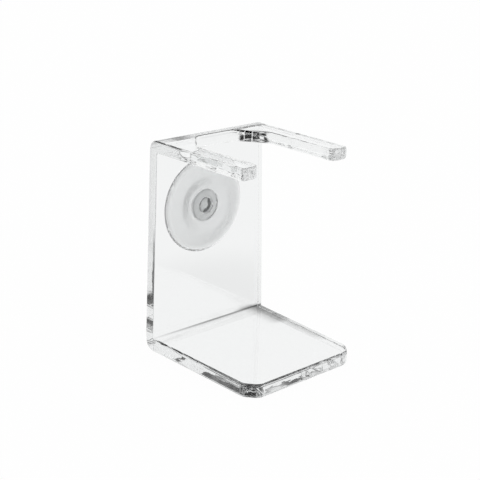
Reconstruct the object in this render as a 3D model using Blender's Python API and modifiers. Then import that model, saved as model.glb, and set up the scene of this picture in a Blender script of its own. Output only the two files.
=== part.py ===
"""Clear acrylic drip stand for a shaving brush.

Three acrylic plates are bonded edge to face into a C: a base, an upright back and a
forked top whose U-shaped slot holds the brush by its neck, bristles down. A button-headed
stud on the rear of the back carries a soft suction cup, which turns on the stud.

Units are metres, +Z is up, the open front faces -Y and the stand rests on z = 0. The
origin is on the table, at the middle of the stand's width and of its whole depth.
"""
import math

import bmesh
import bpy
from mathutils import Matrix, Vector

MM = 0.001

# Overall
HEIGHT = 76.3 * MM
HEEL_WIDTH = 52.0 * MM          # width along the bottom of the back, the widest place
BOND_GAP = 0.3 * MM             # room for the bond between two plates, or a plate and the stud

# Base plate
BASE_DEPTH = 54.4 * MM          # rear face to front edge
BASE_THICKNESS = 5.0 * MM
BASE_FRONT_WIDTH = 48.4 * MM
BASE_CORNER_RADIUS = 5.6 * MM
HEEL_RADIUS = 3.0 * MM          # rounded lower rear edge

# Back plate
BACK_THICKNESS = 4.0 * MM
BACK_TOP_WIDTH = 47.5 * MM

# Fork plate
FORK_THICKNESS = 4.2 * MM
FORK_DEPTH = 46.8 * MM          # rear face to prong tips
FORK_TIP_WIDTH = 46.7 * MM
FORK_HEAD_RADIUS = 2.5 * MM     # rounded upper rear edge
SLOT_WIDTH = 32.0 * MM
SLOT_CORNER_RADIUS = 11.0 * MM
SLOT_WEB = 6.0 * MM             # material left between the slot and the rear face
TIP_OUTER_RADIUS = 1.5 * MM
TIP_INNER_RADIUS = 3.0 * MM

# Polished edges of the plates
ARRIS = 0.4 * MM
ARRIS_STEPS = 2
ROUND_STEPS = 6
CORNER_STEPS = 8
SLOT_STEPS = 14

# Suction cup
CUP_HEIGHT = 49.0 * MM          # axis above the table
CUP_DIAMETER = 35.2 * MM
CUP_THICKNESS = 2.4 * MM
CUP_WEB = 0.9 * MM              # flexible web that the stud's neck passes through
CUP_GAP = 0.3 * MM              # running clearance of the cup to the plate and the stud
CUP_EDGE = 0.5 * MM             # rounding of the cup's front edge
LIP_WIDTH = 1.0 * MM            # flat sealing ring
LIP_TAPER = 1.2 * MM            # how far the ring lies inside the outer diameter
DISH_DEPTH = 0.8 * MM           # hollow behind the sealing ring
DISH_SLOPE = 1.8 * MM           # width of the hollow's sloping edge
HUB_WALL = 1.6 * MM             # raised collar around the stud's head
HUB_DROP = 0.3 * MM             # collar's face below the sealing ring
HUB_SLOPE = 0.8 * MM            # width of the collar's sloping side

# Stud
NECK_DIAMETER = 5.6 * MM
HEAD_DIAMETER = 11.6 * MM
HEAD_THICKNESS = 0.9 * MM
HEAD_CROWN = 0.25 * MM          # how much thinner the button's edge is
HEAD_SLOPE = 1.4 * MM           # width of the button's sloping edge
TURN_STEPS = 64

# Places that follow from the sizes
TOTAL_DEPTH = BASE_DEPTH + CUP_GAP + CUP_THICKNESS
FRONT_Y = -TOTAL_DEPTH / 2
REAR_Y = FRONT_Y + BASE_DEPTH
FORK_UNDERSIDE = HEIGHT - FORK_THICKNESS
HOLE_RADIUS = NECK_DIAMETER / 2 + CUP_GAP
WELD = 0.00001
FLAT_ANGLE = math.radians(0.5)
SHARP_ANGLE = math.radians(30)
ALONG = 0.99                    # least share of a direction that counts as running along an axis


def clear_scene():
    for item in list(bpy.data.objects):
        bpy.data.objects.remove(item, do_unlink=True)


def new_collection(name):
    collection = bpy.data.collections.new(name)
    bpy.context.scene.collection.children.link(collection)
    return collection


def plastic(name, colour, roughness, transmission, ior):
    """A clear or milky plastic: colour is linear RGB, transmission 1 is fully clear."""
    finish = bpy.data.materials.new(name)
    finish.use_nodes = True
    shader = finish.node_tree.nodes["Principled BSDF"]
    shader.inputs["Base Color"].default_value = (*colour, 1.0)
    shader.inputs["Roughness"].default_value = roughness
    shader.inputs["Metallic"].default_value = 0.0
    shader.inputs["Transmission Weight"].default_value = transmission
    shader.inputs["IOR"].default_value = ior
    finish.diffuse_color = (*colour, 1.0)
    return finish


def rounded_corner(before, corner, after, radius, steps):
    """Points of the arc that rounds a corner of an outline, as a list of (x, y)."""
    if radius <= 0:
        return [tuple(corner)]
    to_before = (before - corner).normalized()
    to_after = (after - corner).normalized()
    half_angle = to_before.angle(to_after) / 2
    centre = corner + (to_before + to_after).normalized() * radius / math.sin(half_angle)
    run = radius / math.tan(half_angle)
    start = corner + to_before * run - centre
    end = corner + to_after * run - centre
    sweep = start.angle_signed(end)
    points = []
    for step in range(steps + 1):
        turn = Matrix.Rotation(-sweep * step / steps, 2)
        points.append(tuple(centre + turn @ start))
    return points


def rounded_outline(corners):
    """Closed outline through (x, y, radius, steps) corners, each rounded by its radius."""
    places = [Vector(corner[:2]) for corner in corners]
    outline = []
    for index, (_, _, radius, steps) in enumerate(corners):
        before = places[index - 1]
        after = places[(index + 1) % len(places)]
        outline += rounded_corner(before, places[index], after, radius, steps)
    return outline


def flat_plate(name, outline, thickness, place):
    """Plate with the given outline, extruded along its own Z from 0 to thickness, then placed."""
    curve = bpy.data.curves.new(name + "_outline", "CURVE")
    curve.dimensions = "2D"
    curve.fill_mode = "BOTH"
    curve.extrude = thickness / 2
    spline = curve.splines.new("POLY")
    spline.points.add(len(outline) - 1)
    for point, (x, y) in zip(spline.points, outline):
        point.co = (x, y, 0.0, 1.0)
    spline.use_cyclic_u = True
    drawn = bpy.data.objects.new(name + "_outline", curve)
    bpy.context.scene.collection.objects.link(drawn)
    bpy.context.view_layer.update()
    evaluated = drawn.evaluated_get(bpy.context.evaluated_depsgraph_get())
    mesh = bpy.data.meshes.new_from_object(evaluated)
    mesh.name = name
    mesh.transform(place @ Matrix.Translation((0.0, 0.0, thickness / 2)))
    bpy.data.objects.remove(drawn, do_unlink=True)
    bpy.data.curves.remove(curve)
    shape = bmesh.new()
    shape.from_mesh(mesh)
    bmesh.ops.remove_doubles(shape, verts=shape.verts[:], dist=WELD)
    bmesh.ops.dissolve_limit(shape, angle_limit=FLAT_ANGLE, verts=shape.verts[:], edges=shape.edges[:])
    bmesh.ops.recalc_face_normals(shape, faces=shape.faces[:])
    shape.to_mesh(mesh)
    shape.free()
    return mesh


def round_edges(mesh, chosen, radius, steps):
    """Rounds the sharp edges for which chosen(middle, direction) is true."""
    shape = bmesh.new()
    shape.from_mesh(mesh)
    edges = []
    for edge in shape.edges:
        start, end = edge.verts[0].co, edge.verts[1].co
        if edge.calc_face_angle(0.0) > SHARP_ANGLE and chosen((start + end) / 2, (end - start).normalized()):
            edges.append(edge)
    bmesh.ops.bevel(shape, geom=edges, offset=radius, offset_type="OFFSET", segments=steps,
                    profile=0.5, affect="EDGES", clamp_overlap=True)
    bmesh.ops.recalc_face_normals(shape, faces=shape.faces[:])
    shape.to_mesh(mesh)
    shape.free()


def runs_across(direction):
    """True for an edge that runs along the stand's width."""
    return abs(direction.x) > ALONG


def near(value, wanted):
    return abs(value - wanted) < WELD


def on_rear_edge(middle, direction, height):
    """True for the edge across the rear face at that height."""
    return near(middle.y, REAR_Y) and near(middle.z, height) and runs_across(direction)


def add_piece(collection, name, mesh, finish, origin=(0.0, 0.0, 0.0)):
    """Object of the mesh, with its origin moved to a point of the stand."""
    mesh.transform(Matrix.Translation(-Vector(origin)))
    mesh.materials.clear()
    mesh.materials.append(finish)
    mesh.shade_smooth()
    mesh.set_sharp_from_angle(angle=SHARP_ANGLE)
    piece = bpy.data.objects.new(name, mesh)
    piece.location = origin
    collection.objects.link(piece)
    return piece


def make_base_plate(collection, finish):
    half_rear = HEEL_WIDTH / 2
    half_front = BASE_FRONT_WIDTH / 2
    outline = rounded_outline([
        (-half_rear, REAR_Y, 0, 0),
        (-half_front, FRONT_Y, BASE_CORNER_RADIUS, CORNER_STEPS),
        (half_front, FRONT_Y, BASE_CORNER_RADIUS, CORNER_STEPS),
        (half_rear, REAR_Y, 0, 0),
    ])
    mesh = flat_plate("base_plate", outline, BASE_THICKNESS, Matrix.Identity(4))
    round_edges(mesh, lambda middle, run: on_rear_edge(middle, run, 0), HEEL_RADIUS, ROUND_STEPS)
    round_edges(mesh, lambda middle, run: not near(middle.y, REAR_Y), ARRIS, ARRIS_STEPS)
    return add_piece(collection, "base_plate", mesh, finish)


def make_back_plate(collection, finish):
    """Upright with the slanting sides of a line from the heel's width to the top's width."""
    bottom = BASE_THICKNESS + BOND_GAP
    top = FORK_UNDERSIDE - BOND_GAP

    def half_width(z):
        share = (z - BASE_THICKNESS) / (HEIGHT - BASE_THICKNESS)
        return (HEEL_WIDTH + (BACK_TOP_WIDTH - HEEL_WIDTH) * share) / 2

    outline = [(-half_width(bottom), bottom), (half_width(bottom), bottom),
               (half_width(top), top), (-half_width(top), top)]
    upright = Matrix.Translation((0.0, REAR_Y, 0.0)) @ Matrix.Rotation(math.radians(90), 4, "X")
    mesh = flat_plate("back_plate", outline, BACK_THICKNESS, upright)
    round_edges(mesh, lambda middle, run: abs(run.z) > ALONG, ARRIS, ARRIS_STEPS)
    return add_piece(collection, "back_plate", mesh, finish)


def make_brush_fork(collection, finish):
    """Fork with two prongs: the slot is open to the front and rounded at the back."""
    half_rear = BACK_TOP_WIDTH / 2
    half_tip = FORK_TIP_WIDTH / 2
    half_slot = SLOT_WIDTH / 2
    tip_y = REAR_Y - FORK_DEPTH
    slot_y = REAR_Y - SLOT_WEB
    outline = rounded_outline([
        (-half_rear, REAR_Y, 0, 0),
        (-half_tip, tip_y, TIP_OUTER_RADIUS, CORNER_STEPS),
        (-half_slot, tip_y, TIP_INNER_RADIUS, CORNER_STEPS),
        (-half_slot, slot_y, SLOT_CORNER_RADIUS, SLOT_STEPS),
        (half_slot, slot_y, SLOT_CORNER_RADIUS, SLOT_STEPS),
        (half_slot, tip_y, TIP_INNER_RADIUS, CORNER_STEPS),
        (half_tip, tip_y, TIP_OUTER_RADIUS, CORNER_STEPS),
        (half_rear, REAR_Y, 0, 0),
    ])
    mesh = flat_plate("brush_fork", outline, FORK_THICKNESS, Matrix.Translation((0.0, 0.0, FORK_UNDERSIDE)))
    round_edges(mesh, lambda middle, run: on_rear_edge(middle, run, HEIGHT), FORK_HEAD_RADIUS, ROUND_STEPS)
    round_edges(mesh, lambda middle, run: not near(middle.y, REAR_Y), ARRIS, ARRIS_STEPS)
    return add_piece(collection, "brush_fork", mesh, finish)


def turned_piece(collection, name, profile, closed, finish):
    """Turned solid on the stud's axis; profile is (radius, distance behind the back plate)."""
    mesh = bpy.data.meshes.new(name)
    points = [(radius, 0.0, -behind) for radius, behind in profile]
    edges = [(index, index + 1) for index in range(len(points) - 1)]
    if closed:
        edges.append((len(points) - 1, 0))
    mesh.from_pydata(points, edges, [])
    mesh.materials.append(finish)
    piece = bpy.data.objects.new(name, mesh)
    piece.location = (0.0, REAR_Y, CUP_HEIGHT)
    piece.rotation_euler = (math.radians(90), 0.0, 0.0)
    collection.objects.link(piece)
    screw = piece.modifiers.new("turn", "SCREW")
    screw.axis = "Z"
    screw.steps = TURN_STEPS
    screw.render_steps = TURN_STEPS
    screw.use_merge_vertices = True
    screw.merge_threshold = WELD
    screw.use_smooth_shade = True
    return piece


def make_cup_stud(collection, finish):
    """Short neck with a flat button head, crowned on its rear."""
    neck_start = BOND_GAP
    head_start = CUP_GAP + CUP_WEB + CUP_GAP
    head_end = head_start + HEAD_THICKNESS
    neck = NECK_DIAMETER / 2
    head = HEAD_DIAMETER / 2
    profile = [
        (0.0, neck_start), (neck, neck_start), (neck, head_start),
        (head, head_start), (head, head_end - HEAD_CROWN),
        (head - HEAD_SLOPE, head_end), (0.0, head_end),
    ]
    return turned_piece(collection, "cup_stud", profile, False, finish)


def make_suction_cup(collection, finish):
    """Flat-fronted cup: a web with the stud's hole, a collar, a shallow dish and a sealing lip."""
    front = CUP_GAP
    rear = front + CUP_THICKNESS
    rim = CUP_DIAMETER / 2
    lip_outer = rim - LIP_TAPER
    lip_inner = lip_outer - LIP_WIDTH
    dish = rear - DISH_DEPTH
    pocket = HEAD_DIAMETER / 2 + CUP_GAP
    collar = pocket + HUB_WALL
    profile = [
        (HOLE_RADIUS, front), (rim - CUP_EDGE, front), (rim, front + CUP_EDGE),
        (rim, rear - LIP_TAPER), (lip_outer, rear), (lip_inner, rear),
        (lip_inner - DISH_SLOPE, dish), (collar + HUB_SLOPE, dish),
        (collar, rear - HUB_DROP), (pocket, rear - HUB_DROP),
        (pocket, front + CUP_WEB), (HOLE_RADIUS, front + CUP_WEB),
    ]
    return turned_piece(collection, "suction_cup", profile, True, finish)


def main():
    clear_scene()
    stand = new_collection("shaving_brush_stand")
    acrylic = plastic("clear_acrylic", (0.93, 0.95, 0.95), 0.03, 1.0, 1.49)
    soft_vinyl = plastic("milky_soft_vinyl", (0.74, 0.76, 0.77), 0.35, 0.6, 1.52)
    make_base_plate(stand, acrylic)
    make_back_plate(stand, acrylic)
    make_brush_fork(stand, acrylic)
    make_cup_stud(stand, acrylic)
    make_suction_cup(stand, soft_vinyl)
    bpy.context.view_layer.update()


main()
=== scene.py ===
"""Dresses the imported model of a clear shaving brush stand.

The three acrylic plates become one clear body, because their solvent bonds leave no optical
gap. The stud and the soft suction cup get their rounded, turned forms. Units are metres, in
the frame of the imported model: +Z is up and the open front faces -Y.
"""

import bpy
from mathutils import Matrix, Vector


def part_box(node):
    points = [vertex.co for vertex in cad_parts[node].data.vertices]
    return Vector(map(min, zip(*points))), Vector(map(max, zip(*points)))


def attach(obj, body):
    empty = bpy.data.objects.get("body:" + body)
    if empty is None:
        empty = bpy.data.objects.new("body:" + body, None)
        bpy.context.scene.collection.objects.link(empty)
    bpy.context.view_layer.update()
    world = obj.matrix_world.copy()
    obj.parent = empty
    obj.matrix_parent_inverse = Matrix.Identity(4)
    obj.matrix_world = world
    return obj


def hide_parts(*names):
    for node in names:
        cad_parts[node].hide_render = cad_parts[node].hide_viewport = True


bl_info = {
    "name": "Shaving Brush Stand",
    "version": (1, 0, 0),
    "blender": (4, 5, 0),
    "location": "View3D > Sidebar > Brush Stand",
    "description": "Builds the clear body, stud, suction cup and studio of a shaving brush stand",
    "category": "Add Mesh",
}

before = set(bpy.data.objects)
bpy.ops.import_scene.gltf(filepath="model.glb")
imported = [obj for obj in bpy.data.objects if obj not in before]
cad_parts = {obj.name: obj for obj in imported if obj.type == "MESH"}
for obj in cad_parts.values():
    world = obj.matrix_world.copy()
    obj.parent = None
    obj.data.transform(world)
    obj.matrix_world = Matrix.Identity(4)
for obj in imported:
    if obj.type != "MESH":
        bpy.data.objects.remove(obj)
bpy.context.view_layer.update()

import math

import bpy
import numpy as np
from bpy.props import FloatProperty, FloatVectorProperty, PointerProperty
from mathutils import Matrix, Vector

MM = 0.001
BASE_LOW, BASE_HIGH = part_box("base_plate")
BACK_LOW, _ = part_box("back_plate")
FORK_LOW, FORK_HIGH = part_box("brush_fork")
STUD_LOW, STUD_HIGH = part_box("cup_stud")
CUP_LOW, CUP_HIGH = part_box("suction_cup")
FRONT_Y = BASE_LOW.y
REAR_Y = BASE_HIGH.y
BACK_FACE_Y = BACK_LOW.y
BASE_TOP = BASE_HIGH.z
UNDERSIDE = FORK_LOW.z
TOP = FORK_HIGH.z
TIP_Y = FORK_LOW.y
AXIS_Z = (CUP_LOW.z + CUP_HIGH.z) / 2

WELD = 1e-7                     # metres: points closer than this are one
RIM_STEPS = 7                   # facets of a rounded arris
BEND_STEPS = 18                 # stations round the heel and the head
LINE_STEPS = 4                  # along the straight line before or after their outer corner
FRONT_STEPS = 6                 # from the middle of the base's front to its corner
CORNER_STEPS = 8                # round each end of a base corner's cut, and the heel and head outside
CUT_STEPS = 4                   # along a cut
SIDE_STEPS = 8                  # along the base's side
BACK_STEPS = 10                 # up the upright's side
TIP_STEPS = 8                   # round each corner of a prong's end
TIP_FLAT_STEPS = 2              # between those corners
WALL_STEPS = 6                  # along the slot's straight side
SLOT_STEPS = 12                 # round each end of a slot corner's cut
SLOT_FLAT_STEPS = 3             # from there to the middle of the slot's rear
SKIN_STEPS = 4                  # from an edge to the middle plane
TURN_STEPS = 128                # round a turned piece

BASE_CUT_SLANT = 1.2            # length of a base corner's cut along Y, where it is 1 across
SLOT_CUT_SLANT = 1.32           # the same for a slot corner's cut
SLOT_SHARE = 0.85               # how far the fork's outer stations follow the depth of the slot's
EVEN_SHARE = 0.15               # and how far they are evenly spread

# Strength of the ripples on the worked edges: 1 on the base, more on the fork, and fading away
# towards the rear on everything above the base
FORK_WAVES = 1.8
REAR_WAVES = 0.15
REAR_FADE = (8 * MM, 14 * MM)   # Y where it starts and ends
FADE_ABOVE_BASE = 3 * MM
BUFFED_SHARPNESS = 1.5          # power of the fall to nothing at the cut corners

PMMA_IOR = 1.49
PMMA_DEPTH_COLOUR = (0.9, 0.902, 0.902, 1.0)    # the colour its absorption tends to
FLOAT_A, FLOAT_B = 2, 3         # sockets of a Mix node, by number
COLOUR_A, COLOUR_B = 6, 7
COLOUR_RESULT = 2
FIRST_REFLECTION = 0.5          # a ray's glossy depth is below this until it has been reflected

# The camera, found from the plates' edges in the photograph
CAMERA_YAW = math.radians(41.813)
CAMERA_PITCH = math.radians(19.2)
CAMERA_ROLL = math.radians(1.325)
CAMERA_DISTANCE = 0.365218
CAMERA_LENS = 80.44
SENSOR_WIDTH = 36.0
AIM_ALONG_VIEW_RIGHT = -0.006037
AIM_BEHIND_BACK_FACE = -0.02494
AIM_HEIGHT = 0.043321
FLOOR_HALF = 8.0
FLOOR_DROP = 0.1 * MM           # air film under the stand
FLOOR_LIGHT = 0.93              # the sweep in glossy and clear surfaces, where the tent is 1
FLOOR_SHARE = 0.97              # share of the sweep that is given, the rest being its real shading
CLEAR_BOUNCES = 17              # bends and reflections of a ray; fewer leave the fork's rear dark

# Dark cards, which draw the dark lines in the clear edges. Degrees clockwise from the view's
# direction, degrees above the floor, inner and outer radius in degrees, strength.
DARK_CARDS = (
    (220.0, 0.0, 42.0, 56.0, 0.02),     # the unlit room behind the camera and on its left
    (276.0, 0.0, 6.0, 15.0, 0.10),      # small low card on the left
    (12.0, 0.0, 10.0, 13.5, 0.15),      # low card at the far end of the sweep
)

# Painted shadow of the stand on the sweep, on the side away from the window: darker patches painted
# into the sweep's light, which the burnt-out white only shows through the clear edges. Low and high
# corner, width of the soft edge before the low and after the high corner, along X and along Y, all in
# millimetres, what is left of the light, and whether it only shows after an inner reflection, as its
# widest part does.
PAINTED_SHADOWS = (
    ((26.5, 10), (30, 32), (9, 4), (9, 4), 0.3, False),
    ((26.5, -8), (29, 30), (5, 8), (5, 8), 0.5, False),
    ((8, 26.5), (26.5, 30), (38, 4), (38, 3), 0.35, False),
    ((30, -20), (36, 14), (3, 40), (60, 10), 0.1, True),
)


def linear(code):
    """Linear RGB of an sRGB hex value."""
    parts = np.array([int(code[place:place + 2], 16) for place in (1, 3, 5)]) / 255
    return tuple(np.where(parts <= 0.04045, parts / 12.92, ((parts + 0.055) / 1.055) ** 2.4).tolist())


class StandSizes(bpy.types.PropertyGroup):
    """Sizes of the clear body."""
    front_width: FloatProperty(
        name="Front width", description="Width of the base at its front edge",
        default=48.4 * MM, unit="LENGTH")
    tip_width: FloatProperty(
        name="Tip width", description="Width over both prong tips", default=46.7 * MM, unit="LENGTH")
    slot_width: FloatProperty(
        name="Slot width", description="Opening between the prongs", default=32.0 * MM, unit="LENGTH")
    slot_web: FloatProperty(
        name="Slot web", description="Material between the slot and the rear face",
        default=6.0 * MM, unit="LENGTH")
    slot_cut: FloatProperty(
        name="Slot cut", description="How far the slot's rear corners are cut across",
        default=7.4 * MM, unit="LENGTH")
    slot_corner: FloatProperty(
        name="Slot corner", description="Radius at both ends of the slot's cuts",
        default=5.5 * MM, unit="LENGTH")
    base_cut: FloatProperty(
        name="Base cut", description="How far the base's front corners are cut across",
        default=3.7 * MM, unit="LENGTH")
    base_corner: FloatProperty(
        name="Base corner", description="Radius at both ends of the base's cuts",
        default=4.4 * MM, unit="LENGTH")
    tip_outer: FloatProperty(
        name="Tip outer radius", description="Outer corner of each prong tip",
        default=1.5 * MM, unit="LENGTH")
    tip_inner: FloatProperty(
        name="Tip inner radius", description="Inner corner of each prong tip",
        default=3.0 * MM, unit="LENGTH")
    heel_radius: FloatProperty(
        name="Heel radius", description="Rounded lower rear edge", default=3.2 * MM, unit="LENGTH")
    head_radius: FloatProperty(
        name="Head radius", description="Rounded upper rear edge", default=2.8 * MM, unit="LENGTH")
    inner_fillet: FloatProperty(
        name="Inner fillet", description="Bead of cement in the inner corners",
        default=0.5 * MM, unit="LENGTH")
    base_arris: FloatProperty(
        name="Base arris", description="Depth of the base's polished edges, in its own plane",
        default=0.8 * MM, unit="LENGTH")
    back_arris: FloatProperty(
        name="Back arris", description="Depth of the upright's polished edges, in its own plane",
        default=0.15 * MM, unit="LENGTH")
    fork_arris: FloatProperty(
        name="Fork arris", description="Depth of the fork's polished edges, in its own plane",
        default=0.7 * MM, unit="LENGTH")
    base_round: FloatProperty(
        name="Base rounding", description="Height of the base's edge that is rounded, from each face",
        default=1.1 * MM, unit="LENGTH")
    back_round: FloatProperty(
        name="Back rounding", description="Width of the upright's edge that is rounded, from each face",
        default=0.15 * MM, unit="LENGTH")
    fork_round: FloatProperty(
        name="Fork rounding", description="Height of the fork's edge that is rounded, from each face",
        default=0.9 * MM, unit="LENGTH")


class CupSizes(bpy.types.PropertyGroup):
    """Sizes of the stud and the suction cup, measured from the back's rear face."""
    gap: FloatProperty(
        name="Gap", description="Running clearance of the cup", default=0.3 * MM, unit="LENGTH")
    web: FloatProperty(
        name="Web", description="Flexible web round the stud's neck", default=0.9 * MM, unit="LENGTH")
    neck: FloatProperty(
        name="Neck diameter", description="Neck of the stud", default=5.6 * MM, unit="LENGTH")
    head: FloatProperty(
        name="Head diameter", description="Button head of the stud", default=11.2 * MM, unit="LENGTH")
    gate: FloatProperty(
        name="Gate recess", description="Radius of the moulded dimple in the button",
        default=2.9 * MM, unit="LENGTH")
    lip_width: FloatProperty(
        name="Lip width", description="Flat sealing ring", default=1.0 * MM, unit="LENGTH")
    lip_taper: FloatProperty(
        name="Lip taper", description="How far the ring lies inside the rim", default=1.2 * MM, unit="LENGTH")
    dish: FloatProperty(
        name="Dish depth", description="Hollow behind the sealing ring", default=0.8 * MM, unit="LENGTH")
    cone: FloatProperty(
        name="Cone", description="How far the skirt slopes back towards its rim",
        default=0.45 * MM, unit="LENGTH")
    hub_wall: FloatProperty(
        name="Hub wall", description="Raised collar round the stud's head", default=1.6 * MM, unit="LENGTH")


class StandColours(bpy.types.PropertyGroup):
    """Colours of the two plastics and of the floor."""
    acrylic: FloatVectorProperty(
        name="Acrylic", description="Tint of the clear acrylic", subtype="COLOR", size=3,
        min=0.0, max=1.0, default=linear("#FCFDFD"))
    vinyl: FloatVectorProperty(
        name="Vinyl", description="Colour of the milky soft vinyl", subtype="COLOR", size=3,
        min=0.0, max=1.0, default=linear("#F9FAFA"))
    floor: FloatVectorProperty(
        name="Floor", description="Colour of the studio floor", subtype="COLOR", size=3,
        min=0.0, max=1.0, default=linear("#F3F3F3"))


# Shapes

def turned_normals(start, stop, steps):
    """Unit vectors that turn evenly from start to stop, in equal steps of the angle between them."""
    a0 = math.atan2(start[1], start[0])
    sweep = (math.atan2(stop[1], stop[0]) - a0 + math.pi) % (2 * math.pi) - math.pi
    a = a0 + sweep * np.linspace(0, 1, steps + 1)
    return np.stack([np.cos(a), np.sin(a)], axis=1)


def rounded_path(corners, side):
    """Path through 2D corners (u, v, radius, arc steps, steps of the line that follows).

    On each arc a point is the arc's centre plus radius times the outward normal, or minus it in
    a hollow corner. side is 1 where outward is to the right of the path and -1 where it is to
    the left. Returns the points and their outward normals.
    """
    places = np.array([c[:2] for c in corners], float)
    runs = np.diff(places, axis=0)
    runs /= np.linalg.norm(runs, axis=1, keepdims=True)
    outward = side * np.stack([runs[:, 1], -runs[:, 0]], axis=1)
    points, normals = [places[:1]], [outward[:1]]
    for i in range(1, len(corners)):
        if i < len(corners) - 1:
            n_in, n_out = outward[i - 1], outward[i]
            turn = side * (runs[i - 1, 0] * runs[i, 1] - runs[i - 1, 1] * runs[i, 0])
            radius = corners[i][2] * (1 if turn > 0 else -1)
            centre = places[i] - radius * (n_in + n_out) / (1 + n_in @ n_out)
            arc_normals = turned_normals(n_in, n_out, corners[i][3])
            arc = centre + radius * arc_normals
        else:
            arc, arc_normals = places[i:], outward[-1:]
        steps = corners[i - 1][4]
        share = np.linspace(0, 1, steps + 1)[1:-1, None]
        points += [points[-1][-1] + share * (arc[0] - points[-1][-1]), arc]
        normals += [np.repeat(outward[i - 1][None], steps - 1, axis=0), arc_normals]
    return np.concatenate(points), np.concatenate(normals)


def flat(points, level, axis):
    """3D points from 2D ones: the missing coordinate, by number, is the level."""
    return np.insert(points, axis, level, axis=1)


def stations(inner, outer, outward, normal_in, normal_out):
    """Stations of a run of the wall: the same columns for every one of them."""
    count = len(inner)
    columns = [inner, outer, outward]
    columns += [np.broadcast_to(np.array(n, float), (count, 3)) for n in (normal_in, normal_out)]
    return np.stack(columns, axis=1)


def bend(centre_in, radius_in, outer_corners, start, widths):
    """Stations round an inside corner in the YZ plane: an arc inside, a rounded corner outside.

    start is the arc's first direction; it turns a quarter. The half width runs evenly from
    widths[0] to widths[1]. The outer line is walked at even steps of its own length.
    """
    share = np.linspace(0, 1, BEND_STEPS + 1)
    angle = start + share * math.pi / 2
    ray = np.stack([np.cos(angle), np.sin(angle)], axis=1)
    inner = np.array(centre_in) + radius_in * ray
    line, line_normals = rounded_path(outer_corners, 1)
    length = np.concatenate([[0], np.cumsum(np.linalg.norm(np.diff(line, axis=0), axis=1))])
    even = share * length[-1]
    outer = np.stack([np.interp(even, length, line[:, i]) for i in (0, 1)], axis=1)
    normal_out = np.stack([np.interp(even, length, line_normals[:, i]) for i in (0, 1)], axis=1)
    normal_out /= np.linalg.norm(normal_out, axis=1, keepdims=True)
    half = (widths[0] + share * (widths[1] - widths[0]))[:, None]
    outward = np.tile([1.0, 0.0, 0.0], (len(share), 1))
    columns = [np.hstack([half, inner]), np.hstack([half, outer]), outward,
               np.insert(-ray, 0, 0.0, axis=1), np.insert(normal_out, 0, 0.0, axis=1)]
    return np.stack(columns, axis=1)


def on_centre(rows):
    """The same stations on the middle plane, x = 0."""
    rows = rows.copy()
    rows[:, :2, 0] = 0.0
    return rows


def mirrored(rows):
    """The same stations on the left half: every x changes sign."""
    return rows * np.array([-1.0, 1.0, 1.0])


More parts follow.
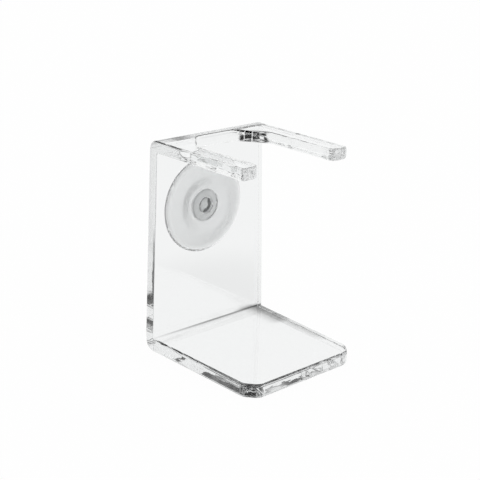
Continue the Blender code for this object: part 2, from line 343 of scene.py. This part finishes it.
def body_lines(sizes):
    """Outline of the right half of the C as two matched lines of stations.

    The edge line runs from the middle of the base's front along its side, up the back and along
    the outside of the fork to the middle of the prong's end. The inner line runs beside it on
    the middle plane and then round the slot to the same place. Returns both, the depth and
    height of the rounded edge at each station, and how many stations come before the slot.
    """
    fillet = sizes.inner_fillet
    half_front = sizes.front_width / 2
    half_tip = sizes.tip_width / 2
    half_slot = sizes.slot_width / 2
    half_heel, half_head = BASE_HIGH.x, FORK_HIGH.x
    corner_y = BACK_FACE_Y - fillet
    low_z, high_z = BASE_TOP + fillet, UNDERSIDE - fillet

    def base_half(y):
        return half_front + (half_heel - half_front) * (y - FRONT_Y) / (REAR_Y - FRONT_Y)

    def back_half(z):
        return half_heel + (half_head - half_heel) * (z - BASE_TOP) / (TOP - BASE_TOP)

    def fork_half(y):
        return half_head + (half_tip - half_head) * (REAR_Y - y) / (REAR_Y - TIP_Y)

    cut_y = FRONT_Y + BASE_CUT_SLANT * sizes.base_cut
    plan, plan_out = rounded_path([
        (0.0, FRONT_Y, 0, 0, FRONT_STEPS),
        (half_front - sizes.base_cut, FRONT_Y, sizes.base_corner, CORNER_STEPS, CUT_STEPS),
        (base_half(cut_y), cut_y, sizes.base_corner, CORNER_STEPS, SIDE_STEPS),
        (base_half(corner_y), corner_y, 0, 0, 0)], 1)
    base = stations(flat(plan, BASE_TOP, 2), flat(plan, BASE_LOW.z, 2), flat(plan_out, 0, 2),
                    (0, 0, 1), (0, 0, -1))
    base_middle = on_centre(base)
    corner_count = FRONT_STEPS + 2 * CORNER_STEPS + CUT_STEPS
    reach = np.linspace(FRONT_Y + sizes.base_arris, plan[corner_count, 1], corner_count + 1)
    base_middle[:corner_count + 1, :2, 1] = reach[:, None]
    heel = bend((corner_y, low_z), fillet,
                [(corner_y, 0.0, 0, 0, LINE_STEPS),
                 (REAR_Y, 0.0, sizes.heel_radius, CORNER_STEPS, LINE_STEPS),
                 (REAR_Y, low_z, 0, 0, 0)],
                -math.pi / 2, (base_half(corner_y), back_half(low_z)))
    side, side_out = rounded_path([
        (back_half(low_z), low_z, 0, 0, BACK_STEPS), (back_half(high_z), high_z, 0, 0, 0)], 1)
    back = stations(flat(side, BACK_FACE_Y, 1), flat(side, REAR_Y, 1), flat(side_out, 0, 1),
                    (0, -1, 0), (0, 1, 0))
    head = bend((corner_y, high_z), fillet,
                [(REAR_Y, high_z, 0, 0, LINE_STEPS),
                 (REAR_Y, TOP, sizes.head_radius, CORNER_STEPS, LINE_STEPS),
                 (corner_y, TOP, 0, 0, 0)],
                0.0, (back_half(high_z), fork_half(corner_y)))
    slot_y = REAR_Y - sizes.slot_web
    edge_steps = SLOT_FLAT_STEPS + 2 * SLOT_STEPS + CUT_STEPS + WALL_STEPS
    fork_plan, fork_out = rounded_path([
        (fork_half(slot_y), slot_y, 0, 0, edge_steps),
        (half_tip, TIP_Y, sizes.tip_outer, TIP_STEPS, TIP_FLAT_STEPS),
        (half_slot, TIP_Y, sizes.tip_inner, TIP_STEPS, WALL_STEPS),
        (half_slot, slot_y - SLOT_CUT_SLANT * sizes.slot_cut, sizes.slot_corner, SLOT_STEPS, CUT_STEPS),
        (half_slot - sizes.slot_cut, slot_y, sizes.slot_corner, SLOT_STEPS, SLOT_FLAT_STEPS),
        (0.0, slot_y, 0, 0, 0)], -1)
    middle = edge_steps + TIP_STEPS + TIP_FLAT_STEPS // 2
    # the outer edge's stations follow the depth of the slot's, so that the faces between them stay even
    depths = fork_plan[::-1][:edge_steps + 1, 1]
    follow = SLOT_SHARE * depths + EVEN_SHARE * np.linspace(slot_y, TIP_Y, edge_steps + 1)
    share = (follow - follow[0]) / (follow[-1] - follow[0])
    fork_plan[:edge_steps + 1] = fork_plan[0] + share[:, None] * (fork_plan[edge_steps] - fork_plan[0])
    fork = stations(flat(fork_plan, UNDERSIDE, 2), flat(fork_plan, TOP, 2), flat(fork_out, 0, 2),
                    (0, 0, -1), (0, 0, 1))
    shared = np.concatenate([base[:-1], heel[:-1], back[:-1], head])
    shared_middle = np.concatenate([
        base_middle[:-1], on_centre(heel[:-1]), on_centre(back[:-1]), on_centre(head)])
    edge = np.concatenate([shared, fork[:middle + 1]])
    inside = np.concatenate([shared_middle, fork[middle:][::-1]])
    turn = np.linspace(0, 1, BEND_STEPS + 1)[:, None]
    low, mid, high = np.array([[sizes.base_arris, sizes.base_round], [sizes.back_arris, sizes.back_round],
                               [sizes.fork_arris, sizes.fork_round]])
    arris = np.concatenate([
        np.tile(low, (len(base) - 1, 1)), low + turn[:-1] * (mid - low), np.tile(mid, (len(back) - 1, 1)),
        mid + turn * (high - mid), np.tile(high, (middle + 1, 1))])
    return edge, inside, arris, len(shared)


def rim_rows(rows, arris):
    """Rounded edge of the wall at each station, from the inner skin to the outer one.

    A point of an arris is the skin's edge, less depth (1 - sin a) along the outward direction and
    less height (1 - cos a) along the skin's normal, where a turns from the skin to the edge. The
    normal there is cos a over height along the skin's normal plus sin a over depth outward.
    """
    depth, height = arris[:, :1, None], arris[:, 1:, None]
    a = np.linspace(0, math.pi / 2, RIM_STEPS + 1)[None, :, None]
    outward = rows[:, 2][:, None]
    parts = []
    for skin, normal, turn in ((rows[:, 0], rows[:, 3], a), (rows[:, 1], rows[:, 4], a[:, ::-1])):
        skin, normal = skin[:, None], normal[:, None]
        points = skin - depth * (1 - np.sin(turn)) * outward - height * (1 - np.cos(turn)) * normal
        leaning = np.cos(turn) * depth * normal + np.sin(turn) * height * outward
        parts.append((points, leaning / np.linalg.norm(leaning, axis=2, keepdims=True)))
    return tuple(np.concatenate(columns, axis=1) for columns in zip(*parts))


def grid_faces(first, rows, columns, closed=False):
    """Quads of a grid of points numbered row by row; closed joins the last row to the first."""
    index = first + np.arange(rows * columns).reshape(rows, columns)
    if closed:
        index = np.concatenate([index, index[:1]])
    return np.stack([index[:-1, :-1], index[1:, :-1], index[1:, 1:], index[:-1, 1:]], axis=-1).reshape(-1, 4)


class Shell:
    """Grids of points with known normals, joined to one closed mesh."""

    def __init__(self, channels):
        self.points, self.normals, self.marks, self.faces, self.count = [], [], [], [], 0
        self.channels = channels

    def add(self, points, normals, mark=0.0, closed=False):
        """Adds a grid; mark holds the channels of each point, which build can keep as an attribute."""
        rows, columns = points.shape[:2]
        self.faces.append(grid_faces(self.count, rows, columns, closed))
        self.points.append(points.reshape(-1, 3))
        self.normals.append(np.broadcast_to(normals, points.shape).reshape(-1, 3))
        self.marks.append(np.broadcast_to(mark, (rows, columns, self.channels)).reshape(-1, self.channels))
        self.count += rows * columns

    def build(self, name, material, attribute=None):
        """Welds points at one place, drops empty faces and turns each triangle to its normals."""
        points, normals = np.concatenate(self.points), np.concatenate(self.normals)
        marks = np.concatenate(self.marks)
        _, keep, back = np.unique(np.round(points / WELD).astype(np.int64), axis=0,
                                  return_index=True, return_inverse=True)
        quads = back.reshape(-1)[np.concatenate(self.faces)]
        points, normals, marks = points[keep], normals[keep], marks[keep]
        triangles = np.concatenate([quads[:, [0, 1, 2]], quads[:, [0, 2, 3]]])
        whole = (triangles[:, 0] != triangles[:, 1]) & (triangles[:, 1] != triangles[:, 2])
        triangles = triangles[whole & (triangles[:, 2] != triangles[:, 0])]
        a, b, c = (points[triangles[:, i]] for i in range(3))
        facing = np.einsum("ij,ij->i", np.cross(b - a, c - a), normals[triangles].sum(axis=1))
        triangles[facing < 0] = triangles[facing < 0][:, ::-1]
        mesh = bpy.data.meshes.new(name)
        mesh.from_pydata(points, [], triangles)
        mesh.polygons.foreach_set("use_smooth", np.ones(len(triangles), bool))
        mesh.normals_split_custom_set_from_vertices(normals)
        if attribute:
            kind, field = ("FLOAT", "value") if self.channels == 1 else ("FLOAT_VECTOR", "vector")
            layer = mesh.attributes.new(attribute, kind, "POINT")
            layer.data.foreach_set(field, marks.astype(np.float32).ravel())
        mesh.materials.append(material)
        piece = bpy.data.objects.new(name, mesh)
        bpy.context.scene.collection.objects.link(piece)
        return piece


def clear_body(sizes, material):
    """The C-shaped body: a rounded rim carried round its whole outline, and a skin on each side.

    Its attribute holds, on the rim, the metres along it from the middle of the base's front, the
    metres across it from the inner skin, and how wavy it is: 1 on the base, more on the fork,
    little at the rear above the base, and nothing at the cut corners, which are buffed flat.
    The skins hold 0.
    """
    edge, inside, arris, shared = body_lines(sizes)
    loop = np.concatenate([
        edge, inside[shared:-1][::-1], mirrored(inside[shared + 1:]), mirrored(edge[1:-1][::-1])])
    loop_arris = np.concatenate([arris, arris[shared:-1][::-1], arris[shared + 1:], arris[1:-1][::-1]])
    shell = Shell(3)
    points, normals = rim_rows(loop, loop_arris)
    steps = np.linalg.norm(np.roll(points[:, RIM_STEPS], -1, axis=0) - points[:, RIM_STEPS], axis=1)
    along = np.cumsum(steps) - steps[0]
    run = np.zeros(points.shape)
    run[..., 0] = np.minimum(along, steps.sum() - along)[:, None]
    run[:, 1:, 1] = np.cumsum(np.linalg.norm(np.diff(points, axis=1), axis=2), axis=1)
    y, z = loop[:, 0, 1:2], loop[:, 0, 2:]
    wavy = np.where(z > UNDERSIDE - sizes.inner_fillet, FORK_WAVES, 1.0)
    wavy *= np.where(z > BASE_TOP + FADE_ABOVE_BASE, np.interp(y, REAR_FADE, (1.0, REAR_WAVES)), 1.0)
    slant = 2 * np.abs(loop[:, 2, :1] * loop[:, 2, 1:2])    # 0 where the edge faces along X or Y, 1 between
    run[:, 1:-1, 2] = wavy * np.maximum(1 - slant, 0) ** BUFFED_SHARPNESS
    shell.add(points, normals, run, closed=True)
    share = np.linspace(0, 1, SKIN_STEPS + 1)[None, :, None]
    for half in (1, -1):
        edge_half = edge if half > 0 else mirrored(edge)
        inside_half = inside if half > 0 else mirrored(inside)
        for place, row in ((0, 3), (1, 4)):
            start = edge_half[:, place] - arris[:, :1] * edge_half[:, 2]
            stop = inside_half[:, place].copy()
            stop[shared:] -= arris[shared:, :1] * inside_half[shared:, 2]
            grid = start[:, None] * (1 - share) + stop[:, None] * share
            shell.add(grid, edge_half[:, row][:, None])
    return shell.build("clear_body", material, "worked_edge")


def turned(name, profile, material, attribute=None, marks=0.0):
    """Turned piece on the stud's axis.

    A point is (r cos t, rear face + d, axis height + r sin t) for each point (r, d) of the profile
    and each angle t, and its normal turns with it. marks has one number for each profile point,
    which the attribute keeps.
    """
    points, normals = profile
    t = np.linspace(0, 2 * math.pi, TURN_STEPS, endpoint=False)[:, None]
    cos, sin = np.cos(t), np.sin(t)
    r, d = points[:, 0][None], points[:, 1][None]
    grid = np.stack([r * cos, REAR_Y + d + 0 * t, AXIS_Z + r * sin], axis=-1)
    n_r, n_d = normals[:, 0][None], normals[:, 1][None]
    directions = np.stack([n_r * cos, n_d + 0 * t, n_r * sin], axis=-1)
    shell = Shell(1)
    shell.add(grid, directions, np.reshape(marks, (-1, 1)), closed=True)
    return shell.build(name, material, attribute)


def closed_profile(corners):
    """A closed profile: the path goes once round and ends in the middle of its first line."""
    first, last = np.array(corners[0][:2]), np.array(corners[-1][:2])
    middle = tuple((first + last) / 2)
    return rounded_path([(*middle, 0, 0, 1), *corners, (*middle, 0, 0, 0)], 1)


def stud_profile(cup):
    """Radius and distance behind the rear face along the stud: foot, neck, button and crown."""
    foot = STUD_LOW.y - REAR_Y
    end = STUD_HIGH.y - REAR_Y
    head_start = cup.gap + cup.web + cup.gap
    neck, head = cup.neck / 2, cup.head / 2
    crown_height, crown_width = 0.25 * MM, 1.1 * MM
    dimple, dimple_middle = 0.9 * MM, 0.8 * MM
    small = 0.12 * MM
    return rounded_path([
        (0.0, foot, 0, 0, 1), (neck, foot, small, 4, 1), (neck, head_start, small, 4, 1),
        (head, head_start, 0.25 * MM, 5, 1), (head, end - crown_height, 0.3 * MM, 5, 1),
        (head - crown_width, end, 0.8 * MM, 6, 1), (cup.gate, end, 0.5 * MM, 6, 1),
        (0.4 * cup.gate, end - dimple, dimple, 8, 1), (0.0, end - dimple_middle, 0, 0, 0)], 1)


def cup_profile(cup):
    """Radius and distance behind the rear face once round the cup's section."""
    rear = CUP_HIGH.y - REAR_Y
    front = cup.gap
    rim = CUP_HIGH.x
    lip_outer = rim - cup.lip_taper
    lip_inner = lip_outer - cup.lip_width
    dish = rear - cup.dish
    pocket = cup.head / 2 + cup.gap
    collar = pocket + cup.hub_wall
    hole = cup.neck / 2 + cup.gap
    hub_end = rear - 0.2 * MM
    shoulder, rim_edge = 1.8 * MM, 0.7 * MM         # the rim's wedge: its width and what it leaves
    lip_slope, hub_slope, hub_draft = 4.2 * MM, 2.6 * MM, 0.4 * MM
    small, large = 0.15 * MM, 6.0 * MM
    return closed_profile([
        (hole, front, small, 4, 10), (collar, front, large, 10, 3),
        (rim - shoulder, front + cup.cone, 1.2 * MM, 8, 1), (rim, rear - rim_edge, small, 6, 1),
        (lip_outer, rear, small, 4, 1), (lip_inner, rear, small, 4, 1),
        (lip_inner - lip_slope, dish, large, 10, 1), (collar + hub_slope, dish, 3.0 * MM, 8, 1),
        (collar - hub_draft, hub_end, 0.8 * MM, 6, 1), (pocket, hub_end, small, 4, 1),
        (pocket, front + cup.web, small, 4, 6), (hole, front + cup.web, small, 4, 1)])


# Finishes

def add_node(tree, kind, inputs=(), **settings):
    """Adds a node; settings are its own fields, inputs maps a socket to a value or to another socket."""
    node = tree.nodes.new(kind)
    for field, value in settings.items():
        setattr(node, field, value)
    for socket, value in dict(inputs).items():
        if isinstance(value, bpy.types.NodeSocket):
            tree.links.new(value, node.inputs[socket])
        else:
            node.inputs[socket].default_value = value
    return node


def new_material(name):
    """An empty material and its node tree."""
    material = bpy.data.materials.new(name)
    material.use_nodes = True
    material.node_tree.nodes.clear()
    return material, material.node_tree


def polished_acrylic(name, colour):
    """Clear PMMA, polished faces and flame-polished edges.

    The faces are almost optically flat, with the slow swell of sheet. The worked edges have
    ripples a few millimetres long and finer streaks along them, which break what they refract
    into short dark and light dashes. Rubbed patches of the faces are a touch less sharp.
    """
    material, tree = new_material(name)
    place = add_node(tree, "ShaderNodeTexCoord").outputs["Object"]
    rim = add_node(tree, "ShaderNodeAttribute", attribute_name="worked_edge").outputs["Vector"]
    rim = add_node(tree, "ShaderNodeSeparateXYZ", {"Vector": rim}).outputs
    worked = rim["Z"]
    side = add_node(tree, "ShaderNodeSeparateXYZ", {"Vector": place}).outputs["X"]
    rim = add_node(tree, "ShaderNodeCombineXYZ", {"X": rim["X"], "Y": rim["Y"], "Z": side}).outputs["Vector"]
    run = add_node(tree, "ShaderNodeMapping", {
        "Vector": rim, "Scale": (1 / (5 * MM), 1 / (1.8 * MM), 1 / (25 * MM))}).outputs["Vector"]
    streak = add_node(tree, "ShaderNodeTexNoise", {"Vector": run, "Scale": 1.0, "Detail": 1.0})
    run = add_node(tree, "ShaderNodeMapping", {
        "Vector": rim, "Scale": (1 / (4 * MM), 1 / (9 * MM), 1 / (25 * MM))}).outputs["Vector"]
    ripple = add_node(tree, "ShaderNodeTexNoise", {"Vector": run, "Scale": 1.0, "Detail": 0.0})
    swell = add_node(tree, "ShaderNodeTexNoise", {"Vector": place, "Scale": 1 / (14 * MM), "Detail": 1.0})
    faces = add_node(tree, "ShaderNodeBump", {
        "Height": swell.outputs["Fac"], "Distance": 0.02 * MM, "Strength": 1.0})
    waves = add_node(tree, "ShaderNodeBump", {
        "Height": ripple.outputs["Fac"], "Distance": 0.35 * MM, "Strength": worked,
        "Normal": faces.outputs["Normal"]})
    edges = add_node(tree, "ShaderNodeBump", {
        "Height": streak.outputs["Fac"], "Distance": 0.09 * MM, "Strength": worked,
        "Normal": waves.outputs["Normal"]})
    rub = add_node(tree, "ShaderNodeTexNoise", {"Vector": place, "Scale": 1 / (3.0 * MM), "Detail": 4.0})
    sheen = add_node(tree, "ShaderNodeMapRange", {
        "Value": rub.outputs["Fac"], "From Min": 0.45, "From Max": 0.75, "To Min": 0.0, "To Max": 0.03})
    shader = add_node(tree, "ShaderNodeBsdfPrincipled", {
        "Base Color": (*colour, 1.0), "Metallic": 0.0, "Roughness": sheen.outputs["Result"],
        "IOR": PMMA_IOR, "Transmission Weight": 1.0, "Normal": edges.outputs["Normal"]})
    depth = add_node(tree, "ShaderNodeVolumeAbsorption", {"Color": PMMA_DEPTH_COLOUR, "Density": 25.0})
    add_node(tree, "ShaderNodeOutputMaterial", {
        "Surface": shader.outputs["BSDF"], "Volume": depth.outputs["Volume"]})
    return material


def moulded_acrylic(name, colour):
    """Clear PMMA, injection moulded: slightly hazy and clearly greyer where it is thick."""
    material, tree = new_material(name)
    place = add_node(tree, "ShaderNodeTexCoord").outputs["Object"]
    flow = add_node(tree, "ShaderNodeTexNoise", {"Vector": place, "Scale": 1 / (4 * MM), "Detail": 1.0})
    relief = add_node(tree, "ShaderNodeBump", {
        "Height": flow.outputs["Fac"], "Distance": 0.15 * MM, "Strength": 1.0})
    haze = add_node(tree, "ShaderNodeMapRange", {
        "Value": flow.outputs["Fac"], "From Min": 0.3, "From Max": 0.7, "To Min": 0.03, "To Max": 0.12})
    shader = add_node(tree, "ShaderNodeBsdfPrincipled", {
        "Base Color": (*colour, 1.0), "Metallic": 0.0, "Roughness": haze.outputs["Result"],
        "IOR": PMMA_IOR, "Transmission Weight": 1.0, "Normal": relief.outputs["Normal"]})
    depth = add_node(tree, "ShaderNodeVolumeAbsorption", {"Color": PMMA_DEPTH_COLOUR, "Density": 4500.0})
    add_node(tree, "ShaderNodeOutputMaterial", {
        "Surface": shader.outputs["BSDF"], "Volume": depth.outputs["Volume"]})
    return material


def milky_vinyl(name, colour):
    """Plasticised PVC, injection moulded.

    Milky and satin, faintly cloudy from its plasticiser, and clearer in the thin lip and web.
    """
    material, tree = new_material(name)
    place = add_node(tree, "ShaderNodeTexCoord").outputs["Object"]
    thin = add_node(tree, "ShaderNodeAttribute", attribute_name="thin_lip").outputs["Fac"]
    cloud = add_node(tree, "ShaderNodeTexNoise", {
        "Vector": place, "Scale": 1 / (16 * MM), "Detail": 1.5}).outputs["Fac"]
    tone = add_node(tree, "ShaderNodeMix", {
        "Factor": cloud, COLOUR_A: (*[c * 0.97 for c in colour], 1.0), COLOUR_B: (*colour, 1.0)},
        data_type="RGBA").outputs[COLOUR_RESULT]
    tone = add_node(tree, "ShaderNodeMix", {
        "Factor": thin, COLOUR_A: tone, COLOUR_B: (0.99, 0.99, 0.99, 1.0)},
        data_type="RGBA").outputs[COLOUR_RESULT]
    grain = add_node(tree, "ShaderNodeTexNoise", {"Vector": place, "Scale": 1 / (0.8 * MM), "Detail": 2.0})
    relief = add_node(tree, "ShaderNodeBump", {
        "Height": grain.outputs["Fac"], "Distance": 0.012 * MM, "Strength": 1.0})
    satin = add_node(tree, "ShaderNodeMapRange", {
        "Value": thin, "From Min": 0.0, "From Max": 1.0, "To Min": 0.34, "To Max": 0.28}).outputs["Result"]
    clear = add_node(tree, "ShaderNodeMapRange", {
        "Value": thin, "From Min": 0.0, "From Max": 1.0, "To Min": 0.93, "To Max": 0.97}).outputs["Result"]
    shader = add_node(tree, "ShaderNodeBsdfPrincipled", {
        "Base Color": tone, "Metallic": 0.0, "Roughness": satin, "IOR": 1.53,
        "Transmission Weight": clear, "Normal": relief.outputs["Normal"]})
    add_node(tree, "ShaderNodeOutputMaterial", {"Surface": shader.outputs["BSDF"]})
    return material


def studio_floor(name, colour, painted_shadows):
    """Matt white sweep.

    It is white to the camera, with a little of its real shading kept for the shadow. Glossy and
    clear surfaces see it a little darker, and darker still where the painted shade lies: shade
    painted into its light by position. Past the corners of a painted shadow patch the light comes
    back with the distance in widths of its soft edge.
    """
    material, tree = new_material(name)
    path = add_node(tree, "ShaderNodeLightPath").outputs
    place = add_node(tree, "ShaderNodeTexCoord").outputs["Object"]
    light = FLOOR_LIGHT
    straight = add_node(tree, "ShaderNodeMath", {
        0: path["Glossy Depth"], 1: FIRST_REFLECTION}, operation="LESS_THAN").outputs[0]
    # each painted shadow patch darkens the light that glossy and clear surfaces see of the sweep
    for low, high, soft_low, soft_high, left, inner in painted_shadows:
        away = (0.0, 0.0, 0.0)
        for corner, soft, sign in ((low, soft_low, -1), (high, soft_high, 1)):
            scale = [sign / (width * MM) for width in soft] + [0.0]
            start = [value * MM for value in corner] + [0.0]
            steps = (("SUBTRACT", start), ("MULTIPLY", scale), ("MAXIMUM", (0, 0, 0)), ("ADD", away))
            away = place
            for kind, value in steps:
                away = add_node(tree, "ShaderNodeVectorMath", {0: away, 1: value}, operation=kind).outputs[0]
        away = add_node(tree, "ShaderNodeVectorMath", {0: away}, operation="LENGTH").outputs["Value"]
        cover = add_node(tree, "ShaderNodeMapRange", {
            "Value": away, "From Min": 0.0, "From Max": 1.0, "To Min": left, "To Max": 1.0},
            interpolation_type="SMOOTHSTEP").outputs["Result"]
        if inner:
            cover = add_node(tree, "ShaderNodeMath", {0: cover, 1: straight}, operation="MAXIMUM").outputs[0]
        light = add_node(tree, "ShaderNodeMath", {0: light, 1: cover}, operation="MULTIPLY").outputs[0]
    light = add_node(tree, "ShaderNodeMath", {
        0: light, 1: path["Is Camera Ray"]}, operation="MAXIMUM").outputs[0]
    shine = add_node(tree, "ShaderNodeEmission", {"Color": (1, 1, 1, 1), "Strength": light}).outputs[0]
    matt = add_node(tree, "ShaderNodeBsdfDiffuse", {"Color": (*colour, 1.0)}).outputs[0]
    seen = add_node(tree, "ShaderNodeMath", {
        0: path["Is Glossy Ray"], 1: path["Is Transmission Ray"]}, operation="MAXIMUM").outputs[0]
    seen = add_node(tree, "ShaderNodeMath", {
        0: path["Is Camera Ray"], 1: seen}, operation="MAXIMUM").outputs[0]
    share = add_node(tree, "ShaderNodeMath", {0: seen, 1: FLOOR_SHARE}, operation="MULTIPLY").outputs[0]
    both = add_node(tree, "ShaderNodeMixShader", {0: share, 1: matt, 2: shine}).outputs[0]
    add_node(tree, "ShaderNodeOutputMaterial", {"Surface": both})
    return material


def studio_world(name, cards):
    """White tent with dark cards.

    The camera and rays that pass straight through clear plates see plain white. The cards only
    show in what is reflected, outside or inside the plates.
    """
    world = bpy.data.worlds.new(name)
    world.use_nodes = True
    tree = world.node_tree
    tree.nodes.clear()
    direction = add_node(tree, "ShaderNodeTexCoord").outputs["Generated"]
    light = 1.0
    for turn, height, inner, outer, strength in cards:
        turn, height = CAMERA_YAW + math.radians(turn), math.radians(height)
        middle = (math.sin(turn) * math.cos(height), math.cos(turn) * math.cos(height), math.sin(height))
        toward = add_node(tree, "ShaderNodeVectorMath", {0: direction, 1: middle}, operation="DOT_PRODUCT")
        cover = add_node(tree, "ShaderNodeMapRange", {
            "Value": toward.outputs["Value"], "From Min": math.cos(math.radians(outer)),
            "From Max": math.cos(math.radians(inner)), "To Min": 0.0, "To Max": 1.0},
            interpolation_type="SMOOTHSTEP").outputs["Result"]
        light = add_node(tree, "ShaderNodeMix", {
            0: cover, FLOAT_A: light, FLOAT_B: strength}, data_type="FLOAT").outputs[0]
    path = add_node(tree, "ShaderNodeLightPath").outputs
    straight = add_node(tree, "ShaderNodeMath", {
        0: path["Glossy Depth"], 1: FIRST_REFLECTION}, operation="LESS_THAN").outputs[0]
    straight = add_node(tree, "ShaderNodeMath", {
        0: straight, 1: path["Is Transmission Ray"]}, operation="MULTIPLY").outputs[0]
    seen = add_node(tree, "ShaderNodeMath", {
        0: straight, 1: path["Is Camera Ray"]}, operation="MAXIMUM").outputs[0]
    light = add_node(tree, "ShaderNodeMath", {0: light, 1: seen}, operation="MAXIMUM").outputs[0]
    sky = add_node(tree, "ShaderNodeBackground", {"Color": (1, 1, 1, 1), "Strength": light}).outputs[0]
    add_node(tree, "ShaderNodeOutputWorld", {"Surface": sky})
    return world


# Operators

class STAND_OT_clear_body(bpy.types.Operator):
    """Build the clear body in place of the three bonded plates"""
    bl_idname = "stand.clear_body"
    bl_label = "Clear Body"

    def execute(self, context):
        material = polished_acrylic("polished_clear_acrylic", context.scene.stand_colours.acrylic)
        body = clear_body(context.scene.stand_sizes, material)
        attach(body, "stand")
        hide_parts("base_plate", "back_plate", "brush_fork")
        return {"FINISHED"}


class STAND_OT_cup_stud(bpy.types.Operator):
    """Turn the clear stud that carries the cup"""
    bl_idname = "stand.cup_stud"
    bl_label = "Cup Stud"

    def execute(self, context):
        material = moulded_acrylic("moulded_clear_acrylic", context.scene.stand_colours.acrylic)
        stud = turned("clear_stud", stud_profile(context.scene.cup_sizes), material)
        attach(stud, "stand")
        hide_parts("cup_stud")
        return {"FINISHED"}


class STAND_OT_suction_cup(bpy.types.Operator):
    """Turn the soft suction cup"""
    bl_idname = "stand.suction_cup"
    bl_label = "Suction Cup"

    def execute(self, context):
        material = milky_vinyl("moulded_milky_vinyl", context.scene.stand_colours.vinyl)
        profile = cup_profile(context.scene.cup_sizes)
        pocket = context.scene.cup_sizes.head / 2
        # by radius: the web inside the pocket is thin, then the hub and the skirt thick, the lip thin
        places = (pocket - 0.8 * MM, pocket + 0.2 * MM, CUP_HIGH.x - 2.2 * MM, CUP_HIGH.x - 1.4 * MM)
        thin = np.interp(profile[0][:, 0], places, (1.0, 0.0, 0.0, 1.0))
        cup = turned("soft_cup", profile, material, "thin_lip", thin)
        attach(cup, "cup")
        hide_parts("suction_cup")
        return {"FINISHED"}


class STAND_OT_stage(bpy.types.Operator):
    """Set the floor, the soft light and the camera"""
    bl_idname = "stand.stage"
    bl_label = "Stage"

    def execute(self, context):
        scene = context.scene
        look = Vector((math.sin(CAMERA_YAW) * math.cos(CAMERA_PITCH),
                       math.cos(CAMERA_YAW) * math.cos(CAMERA_PITCH), -math.sin(CAMERA_PITCH)))
        level_right = Vector((math.cos(CAMERA_YAW), -math.sin(CAMERA_YAW), 0.0))
        level_up = level_right.cross(look)
        right = math.cos(CAMERA_ROLL) * level_right + math.sin(CAMERA_ROLL) * level_up
        up = right.cross(look)
        target = Vector((0.0, BACK_FACE_Y + AIM_BEHIND_BACK_FACE, AIM_HEIGHT))
        target += AIM_ALONG_VIEW_RIGHT * level_right
        camera = bpy.data.objects.new("camera", bpy.data.cameras.new("camera"))
        camera.data.lens = CAMERA_LENS
        camera.data.sensor_width = SENSOR_WIDTH
        camera.data.clip_start = 10 * MM
        placed = Matrix((right, up, -look)).transposed().to_4x4()
        placed.translation = target - look * CAMERA_DISTANCE
        camera.matrix_world = placed
        scene.collection.objects.link(camera)
        scene.camera = camera

        mesh = bpy.data.meshes.new("studio_floor")
        square = ((-1, -1), (1, -1), (1, 1), (-1, 1))
        corners = [(x * FLOOR_HALF, y * FLOOR_HALF, -FLOOR_DROP) for x, y in square]
        mesh.from_pydata(corners, [], [(0, 1, 2, 3)])
        mesh.materials.append(studio_floor("matt_white_sweep", scene.stand_colours.floor, PAINTED_SHADOWS))
        floor = bpy.data.objects.new("studio_floor", mesh)
        scene.collection.objects.link(floor)
        scene.world = studio_world("white_tent", DARK_CARDS)
        scene.cycles.max_bounces = CLEAR_BOUNCES
        scene.cycles.glossy_bounces = CLEAR_BOUNCES
        scene.cycles.transmission_bounces = CLEAR_BOUNCES
        scene.view_settings.view_transform = "Standard"
        return {"FINISHED"}


class STAND_PT_panel(bpy.types.Panel):
    """Lists the sizes, the colours and the operators"""
    bl_idname = "STAND_PT_panel"
    bl_label = "Brush Stand"
    bl_space_type = "VIEW_3D"
    bl_region_type = "UI"
    bl_category = "Brush Stand"

    def draw(self, context):
        column = self.layout.column()
        for group in (context.scene.stand_sizes, context.scene.cup_sizes, context.scene.stand_colours):
            for field in group.__annotations__:
                column.prop(group, field)
        for operator in OPERATORS:
            column.operator(operator.bl_idname)


OPERATORS = (STAND_OT_clear_body, STAND_OT_cup_stud, STAND_OT_suction_cup, STAND_OT_stage)
CLASSES = (StandSizes, CupSizes, StandColours, *OPERATORS, STAND_PT_panel)


def register():
    for item in CLASSES:
        bpy.utils.register_class(item)
    bpy.types.Scene.stand_sizes = PointerProperty(type=StandSizes)
    bpy.types.Scene.cup_sizes = PointerProperty(type=CupSizes)
    bpy.types.Scene.stand_colours = PointerProperty(type=StandColours)


def unregister():
    del bpy.types.Scene.stand_colours
    del bpy.types.Scene.cup_sizes
    del bpy.types.Scene.stand_sizes
    for item in reversed(CLASSES):
        bpy.utils.unregister_class(item)


def main():
    register()
    bpy.ops.stand.clear_body()
    bpy.ops.stand.cup_stud()
    bpy.ops.stand.suction_cup()
    bpy.ops.stand.stage()


if __name__ == "__main__":
    main()
